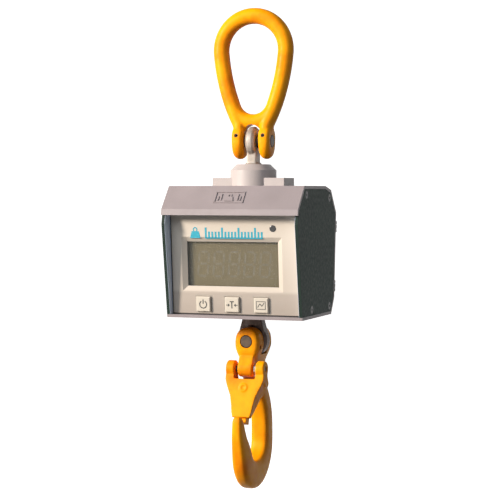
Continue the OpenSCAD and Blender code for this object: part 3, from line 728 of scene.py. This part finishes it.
def plate_paint(painted_sky_light_inside=False):
    """Dark matt paint of the side plates and the door. The plates' inner faces can get a painted
    pale bluish sky light.
    """
    s = Surface("plate_paint", srgb(32, 44, 39), 0.6, Specular_IOR_Level=0.1)
    s.tint(s.ramp(s.noise(16, 4), 0.4, 0.75, 0, 0.7), srgb(27, 36, 33))
    if painted_sky_light_inside:
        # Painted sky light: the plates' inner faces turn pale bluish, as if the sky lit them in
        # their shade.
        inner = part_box("side_plate_right")[0][0]
        s.tint(s.ramp(s.distance_from_middle(), inner + 0.3 * MM, inner + 0.15 * MM),
               srgb(205, 216, 234))
    s.vary("Roughness", s.noise(300, 3), 0.3, 0.7, 0.54, 0.7)
    s.bump(s.noise(1500, 3), 0.00002, 0.6)
    return s.material


def cream_plastic():
    """Moulded cream plastic with a fine spark texture."""
    s = Surface("cream_plastic", srgb(190, 180, 166), 0.5, Specular_IOR_Level=0.3)
    s.tint(s.ramp(s.noise(14, 3), 0.45, 0.75, 0, 0.5), srgb(182, 169, 153))
    s.vary("Roughness", s.noise(240, 3), 0.3, 0.7, 0.44, 0.6)
    s.bump(s.noise(1900, 2), 0.00003, 0.7)
    return s.material


def panel_film():
    """Front panel: cream at its top, darker and greyer down past the display to the keys."""
    s = Surface("panel_film", srgb(191, 180, 167), 0.46, Specular_IOR_Level=0.3)
    display_low, display_high = (corner[2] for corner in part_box("display_window"))
    s.tint(s.ramp(s.coordinate("Z"), display_high + 10 * MM, display_low, 0, 0.35),
           srgb(168, 153, 141))
    s.tint(s.ramp(s.coordinate("Z"), display_low, display_low - 5 * MM, 0, 0.8),
           srgb(156, 144, 134))
    s.tint(s.ramp(s.coordinate("Z"), display_low - 4 * MM, display_low - 24 * MM, 0, 0.5),
           srgb(143, 132, 123))
    s.tint(s.ramp(s.noise(12, 3), 0.5, 0.8, 0, 0.4), srgb(181, 167, 150))
    s.vary("Roughness", s.noise(300, 3), 0.3, 0.7, 0.4, 0.55)
    s.bump(s.noise(1800, 2), 0.00003, 0.7)
    return s.material


def rubber(name, colour):
    """Matt rubber or cable sheath with a bloom of dust."""
    s = Surface(name, colour, 0.75, Sheen_Weight=0.2)
    s.tint(s.ramp(s.noise(200, 4), 0.5, 0.8, 0, 0.5), (0.06, 0.058, 0.055, 1))
    s.bump(s.noise(1400, 2), 0.00005, 0.6)
    return s.material


def moulded(name, colour, roughness):
    """Hard plastic with a light moulding texture."""
    s = Surface(name, colour, roughness)
    lighter = tuple(min(1, c * 1.35 + 0.01) for c in colour[:3]) + (1,)
    s.tint(s.ramp(s.noise(90, 3), 0.5, 0.8, 0, 0.4), lighter)
    s.vary("Roughness", s.noise(260, 3), 0.3, 0.7, roughness - 0.05, roughness + 0.1)
    s.bump(s.noise(1200, 2), 0.00003, 0.5)
    return s.material


def lcd_glass():
    """Unpowered reflective display: olive grey, with a painted shadow of the window's rim along
    its left edge.
    """
    s = Surface("lcd", srgb(84, 73, 46), 0.5, Specular_IOR_Level=0.2)
    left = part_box("lcd_panel")[0][0]
    # Painted shadow: darker along the left edge, where the window's rim shades the display.
    s.tint(s.ramp(s.coordinate("X"), left + 9 * MM, left + 4 * MM, 0, 0.85), srgb(52, 42, 32))
    s.tint(s.ramp(s.noise(35, 3), 0.4, 0.8, 0, 0.35), srgb(92, 81, 57))
    s.bump(s.noise(2600, 1), 0.00001, 0.4)
    return s.material


def clear_window():
    """Clear polycarbonate with faint dust."""
    s = Surface("clear_window", srgb(228, 232, 226), 0.08, Alpha=0.03, Specular_IOR_Level=0.15)
    s.vary("Roughness", s.noise(160, 4), 0.3, 0.8, 0.05, 0.14)
    s.bump(s.noise(60, 2), 0.00003, 0.3)
    return s.material


def board():
    """Solder mask with traces under it."""
    s = Surface("board", srgb(24, 92, 52), 0.35)
    s.tint(s.ramp(s.noise(420, 1, (1, 1, 6)), 0.52, 0.55, 0, 0.7), srgb(44, 128, 72))
    s.bump(s.noise(420, 1, (1, 1, 6)), 0.00003, 0.5)
    return s.material


def cell_sleeve():
    """Printed sleeve of a cell, with a gold band towards its terminal."""
    s = Surface("cells", srgb(34, 44, 70), 0.3)
    reach = s.distance_from_middle()
    s.tint(s.ramp(reach, 36 * MM, 36.5 * MM), srgb(190, 140, 70))
    s.tint(s.ramp(reach, 50.4 * MM, 50.6 * MM), srgb(190, 190, 190))
    s.bump(s.noise(900, 2), 0.00002, 0.4)
    return s.material


def ink(name, colour, roughness=0.4):
    """Screen-printed ink with a slightly uneven film."""
    s = Surface(name, colour, roughness)
    lighter = tuple(min(1, c * 1.25 + 0.012) for c in colour[:3]) + (1,)
    s.tint(s.ramp(s.noise(500, 3), 0.45, 0.75, 0, 0.6), lighter)
    s.bump(s.noise(1500, 2), 0.00002, 0.5)
    return s.material


def stage_white():
    """Pale seamless paper."""
    s = Surface("stage_white", (0.86, 0.86, 0.86, 1), 0.9, Emission_Strength=0.72,
                Emission_Color=(1, 1, 1, 1))
    s.tint(s.ramp(s.noise(3, 2), 0.4, 0.8, 0, 0.3), (0.82, 0.82, 0.82, 1))
    return s.material


MATERIALS = {
    "forged_paint": forged_paint(),
    "pin_steel": steel("pin_steel", (0.045, 0.033, 0.026, 1), (0.08, 0.05, 0.03, 1), 0.5, 0.6),
    "eye_steel": steel("eye_steel", (0.34, 0.29, 0.25, 1), (0.26, 0.22, 0.18, 1), 0.46, 0.35),
    "lower_eye_steel": steel("lower_eye_steel", (0.04, 0.022, 0.016, 1), (0.07, 0.04, 0.025, 1),
                             0.45, 0.6),
    "cell_steel": steel("cell_steel", (0.6, 0.6, 0.59, 1), (0.5, 0.5, 0.48, 1), 0.3,
                        grain=(1, 1, 8)),
    "flange_paint": paint("flange_paint", srgb(170, 160, 157), srgb(158, 147, 144), 0.42, 1700),
    "shell_paint": paint("shell_paint", srgb(141, 130, 131), srgb(128, 118, 119), 0.5),
    "plate_paint": plate_paint(),
    "black_screws": steel("black_screws", (0.03, 0.03, 0.032, 1), (0.06, 0.05, 0.045, 1), 0.4),
    "cream_plastic": cream_plastic(),
    "black_rubber": rubber("black_rubber", (0.018, 0.018, 0.018, 1)),
    "clear_window": clear_window(),
    "black_plastic": moulded("black_plastic", (0.02, 0.02, 0.021, 1), 0.45),
    "lens_plastic": moulded("lens_plastic", (0.012, 0.011, 0.012, 1), 0.14),
    "lcd": lcd_glass(),
    "diffuser": moulded("diffuser", (0.8, 0.8, 0.78, 1), 0.4),
    "board": board(),
    "chips": moulded("chips", (0.025, 0.025, 0.028, 1), 0.35),
    "brass_parts": steel("brass_parts", (0.75, 0.52, 0.22, 1), (0.55, 0.36, 0.14, 1), 0.3),
    "zinc_parts": steel("zinc_parts", (0.66, 0.65, 0.62, 1), (0.5, 0.48, 0.44, 1), 0.34),
    "cells": cell_sleeve(),
    "cable": rubber("cable", (0.03, 0.03, 0.03, 1)),
}
TEAL = ink("teal_ink", srgb(20, 138, 158))
DARK_INK = ink("dark_ink", srgb(52, 50, 48))
PALE_INK = ink("pale_ink", srgb(150, 144, 134))
GHOST = ink("ghost_segments", srgb(73, 64, 40), 0.5)


def dress(piece, material):
    """Gives every material slot of a piece one material."""
    if not piece.material_slots:
        piece.data.materials.append(material)
    for holder in piece.material_slots:
        holder.material = material


# ---------------------------------------------------------------- the object

def soften(node, width):
    """Rounds the edges of a CAD node with modifiers, by a width in millimetres."""
    sharp_degrees = 30
    flat_degrees = 0.5
    piece = NODES[node]
    weld = piece.modifiers.new("weld", "WELD")
    weld.merge_threshold = 0.002 * MM
    flat = piece.modifiers.new("flat", "DECIMATE")
    flat.decimate_type = "DISSOLVE"
    flat.angle_limit = math.radians(flat_degrees)
    bevel = piece.modifiers.new("bevel", "BEVEL")
    bevel.width = width * MM
    bevel.segments = 2
    bevel.limit_method = "ANGLE"
    bevel.angle_limit = math.radians(sharp_degrees)
    bevel.use_clamp_overlap = True
    normals = piece.modifiers.new("normals", "WEIGHTED_NORMAL")
    normals.keep_sharp = True


def dress_nodes():
    """Materials and rounded edges of every CAD node that stays visible."""
    for part in RECORD["subparts"]:
        dress(NODES[part["node"]], MATERIALS[part["material_slot"]])
    dress(NODES["front_bezel"], panel_film())
    # The plates' inner faces get painted sky light, pale and bluish.
    plates = plate_paint(painted_sky_light_inside=True)
    dress(NODES["side_plate_left"], plates)
    dress(NODES["side_plate_right"], plates)
    # Widths of the rounding in millimetres
    widths = {0.8: ["housing_shell", "side_plate_left", "side_plate_right", "top_flange",
                    "battery_door"],
              0.5: ["front_bezel", "key_power", "key_tare", "key_hold", "flange_screws",
                    "battery_holder", "hinge_brackets", "load_cell"],
              0.3: ["top_load_pin", "lower_load_pin", "latch_pin", "door_thumbscrew",
                    "bezel_seal", "sensor_lens", "side_screws_left", "side_screws_right",
                    "batteries", "door_gasket", "pcb_components", "lcd_frame"]}
    for width, nodes in widths.items():
        for node in nodes:
            soften(node, width)


def place_forgings():
    """Forged and bent pieces, each in the place of its CAD node."""
    for build, node, body in ((build_link, "top_link", "top_link"),
                              (build_hook, "hook_body", "hook"),
                              (build_latch, "latch", "latch"),
                              (build_upper_eye, "upper_eye", "housing"),
                              (build_lower_eye, "lower_eye", "housing"),
                              (build_spring, "latch_spring", "hook")):
        piece = build()
        slot = next(part["material_slot"] for part in RECORD["subparts"] if part["node"] == node)
        dress(piece, MATERIALS[slot])
        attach(piece, body)
        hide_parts(node)


def print_panel():
    """Signs of the front panel, its keys and its display."""
    inward = Vector(joint_named("key_tare_press")["axis"])
    panel = Face("front_bezel", -inward, middle("display_window"))
    thin = 0.12
    middle_b = 31
    foot_b = middle_b - 5
    first_a = -26
    pitch = 3.4
    marks = 18
    shapes = weight_shapes(-37, middle_b, 11)
    for i in range(marks):
        tall = 10 if i % 5 == 0 else 6
        mark_a = first_a + pitch * i
        shapes.append(bar_shape(mark_a, foot_b, mark_a, foot_b + tall, 1.9))
    shapes.append(bar_shape(-27, middle_b - 5.2, 32.8, middle_b - 5.2, 1.2))
    print_on("panel_sign", shapes, panel, thin, TEAL, "housing")

    key_frame = 8.6
    frames = []
    for key in ("key_power", "key_tare", "key_hold"):
        a, b = panel.coords(middle(key))
        frames += frame_shapes(a, b, key_frame, key_frame, 0.5)
    print_on("key_frames", frames, panel, thin, PALE_INK, "housing")

    power_sign = [arc_shape(0, -0.4, 3.6, 1.0, 120, 420), bar_shape(0, 0.2, 0, 4.6, 1.0)]
    tare_sign = [bar_shape(-2.1, 3, 2.1, 3, 1.0), bar_shape(0, 3, 0, -3.6, 1.1)]
    tare_sign += arrow_shapes(-4, -0.4, 4, 1) + arrow_shapes(4, -0.4, 4, -1)
    graph_sign = frame_shapes(0, 0, 4.6, 3.7, 0.6)
    graph_sign += [bar_shape(-3.4, -2, -1, 1.6, 0.7), bar_shape(-1, 1.6, 1, -0.8, 0.7),
                   bar_shape(1, -0.8, 3.4, 2.4, 0.7)]
    for key, sign in (("key_power", power_sign), ("key_tare", tare_sign),
                      ("key_hold", graph_sign)):
        face = Face(key, -inward, middle(key))
        print_on(key + "_sign", sign, face, thin, DARK_INK, key)

    display = Face("lcd_panel", -inward, middle("display_window"))
    digits = 5
    ghosts = []
    for i in range(digits):
        ghosts += digit_shapes(-32 + 16 * i, -0.5, 5, 12, 2)
    ghosts += frame_shapes(41.5, 15, 2.6, 1.4, 0.4)
    print_on("display_segments", ghosts, display, 0.05, GHOST, "housing", 0.02)


def emboss_hood():
    """Generic weight sign raised on the hood's front slope."""
    out_of_slope = (0, -0.756, 0.655)
    on_slope = Vector((-2.5 * MM, -60.7 * MM, -172.3 * MM))
    slope = Face("housing_shell", out_of_slope, on_slope)
    shapes = frame_shapes(0, 0, 14.5, 6.6, 1.1) + weight_shapes(0, -0.4, 9)
    for side in (-1, 1):
        shapes.append(bar_shape(side * 8.5, -4, side * 8.5, 4, 1.2))
        shapes.append(bar_shape(side * 11.3, -4, side * 11.3, 1, 1.0))
    print_on("hood_sign", shapes, slope, 0.8, MATERIALS["shell_paint"], "housing")


def emboss_door():
    """Battery sign raised on the rear door."""
    axis = Vector(joint_named("thumbscrew_turn")["axis"])
    outward = axis if axis.y > 0 else -axis
    door = Face("battery_door", outward, middle("battery_door"))
    shapes = frame_shapes(0, 0, 13, 6, 1.2)
    shapes.append(bar_shape(14.6, -2.6, 14.6, 2.6, 1.6))
    shapes += [bar_shape(-8.5, 0, -3.5, 0, 1.1), bar_shape(3.5, 0, 8.5, 0, 1.1),
               bar_shape(6, -2.5, 6, 2.5, 1.1)]
    print_on("door_sign", shapes, door, 0.4, MATERIALS["plate_paint"], "battery_door")


# ---------------------------------------------------------------- stage, light and camera

def build_stage():
    """Round seamless stage: a floor that curves up into a wall on every side."""
    floor_z = -0.56
    radius = 3.2
    wall = 3.2
    corner = 0.9
    corner_steps = 12
    around = 96
    profile = [(0.02, floor_z), (1.0, floor_z), (radius - corner, floor_z)]
    for i in range(1, corner_steps + 1):
        angle = math.radians(90 * i / corner_steps)
        profile.append((radius - corner + corner * math.sin(angle),
                        floor_z + corner - corner * math.cos(angle)))
    profile.append((radius, floor_z + wall))
    rings = [[Vector((r * math.cos(math.tau * k / around), r * math.sin(math.tau * k / around), z))
              for k in range(around)] for r, z in profile]
    mesh = skin("stage", rings)
    work = bmesh.new()
    work.from_mesh(mesh)
    top = max((f for f in work.faces if len(f.verts) > 4), key=lambda f: f.calc_center_median().z)
    bmesh.ops.delete(work, geom=[top], context="FACES")
    work.to_mesh(mesh)
    work.free()
    stage = new_object("stage", mesh)
    mesh.shade_smooth()
    dress(stage, stage_white())
    stage.visible_diffuse = False


def add_lamp(name, azimuth, elevation, distance, size, watts, colour, target):
    """Square area lamp that faces the target, at angles as for a view."""
    a = math.radians(azimuth)
    e = math.radians(elevation)
    away = Vector((math.sin(a) * math.cos(e), -math.cos(a) * math.cos(e), math.sin(e)))
    light = bpy.data.lights.new(name, "AREA")
    light.size = size
    light.energy = watts
    light.color = colour
    lamp = bpy.data.objects.new(name, light)
    bpy.context.scene.collection.objects.link(lamp)
    lamp.location = target + away * distance
    lamp.rotation_euler = away.to_track_quat("Z", "Y").to_euler()
    lamp.visible_camera = False


def light_scene(target):
    """A warm key from the left front, a larger, weaker and cooler fill above, a dim surround."""
    add_lamp("key", -48, 17, 2.3, 0.45, 106, (1.0, 0.92, 0.82), target)
    add_lamp("fill", -12, 38, 2.4, 1.4, 26, (0.82, 0.91, 1.0), target)
    world = bpy.data.worlds.new("surround")
    bpy.context.scene.world = world
    world.use_nodes = True
    background = world.node_tree.nodes["Background"]
    background.inputs["Color"].default_value = (0.86, 0.93, 1.0, 1)
    background.inputs["Strength"].default_value = 0.16
    view = bpy.context.scene.view_settings
    view.view_transform = "Standard"
    view.look = "None"


def add_camera():
    """Camera in front and a little to the right, just above the middle of the object."""
    azimuth = math.radians(20)
    pitch = math.radians(2.15)
    distance = 1.6
    aside = -3.5 * MM
    aim_z = -0.225
    target = Vector((aside * math.cos(azimuth), aside * math.sin(azimuth), aim_z))
    back = Vector((math.sin(azimuth) * math.cos(pitch), -math.cos(azimuth) * math.cos(pitch),
                   math.sin(pitch)))
    lens = bpy.data.cameras.new("camera")
    lens.sensor_width = 36
    lens.lens = 115.2
    camera = bpy.data.objects.new("camera", lens)
    bpy.context.scene.collection.objects.link(camera)
    camera.location = target + back * distance
    camera.rotation_euler = back.to_track_quat("Z", "Y").to_euler()
    bpy.context.scene.camera = camera
    return target


aim = add_camera()
light_scene(aim)
build_stage()
dress_nodes()
place_forgings()
print_panel()
emboss_hood()
emboss_door()

bpy.context.view_layer.update()
